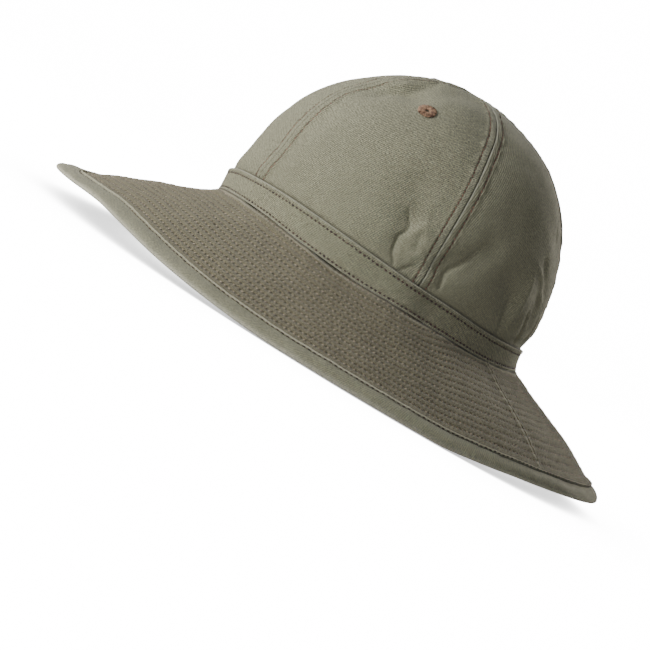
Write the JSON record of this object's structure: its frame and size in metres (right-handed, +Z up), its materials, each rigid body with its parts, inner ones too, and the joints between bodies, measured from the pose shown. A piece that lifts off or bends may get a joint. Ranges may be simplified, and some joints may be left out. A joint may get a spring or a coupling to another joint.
{
  "type": "deck hat",
  "caption": "Soft cotton twill sun hat with a domed panelled crown, a folded band, a row-stitched drooping brim with a bound edge, and thread eyelets in the sides.",
  "frame": {"origin": "on the surface the hat rests on, under the middle of the brim's outline", "axes": "+Z up, -Y towards the front of the hat, +X towards the wearer's left"},
  "size_m": [0.328, 0.3488, 0.1646],
  "materials": {
    "crown_twill": "matt cotton twill, olive green",
    "band_twill": "matt cotton twill, olive green, both edges folded under",
    "brim_stitched": "matt cotton twill, olive green, quilted with close rows of dark brown thread",
    "binding_twill": "matt cotton twill, olive green, turned over the edge",
    "eyelet_thread": "copper brown thread, slightly shiny"
  },
  "bodies": {
    "root": {"crown_panel_front": "crown_twill", "crown_panel_left": "crown_twill", "crown_panel_right": "crown_twill", "crown_panel_back_left": "crown_twill", "crown_panel_back_right": "crown_twill", "band": "band_twill", "brim": "brim_stitched", "brim_edge": "binding_twill", "eyelet_left": "eyelet_thread", "eyelet_right": "eyelet_thread"}
  },
  "joints": []
}
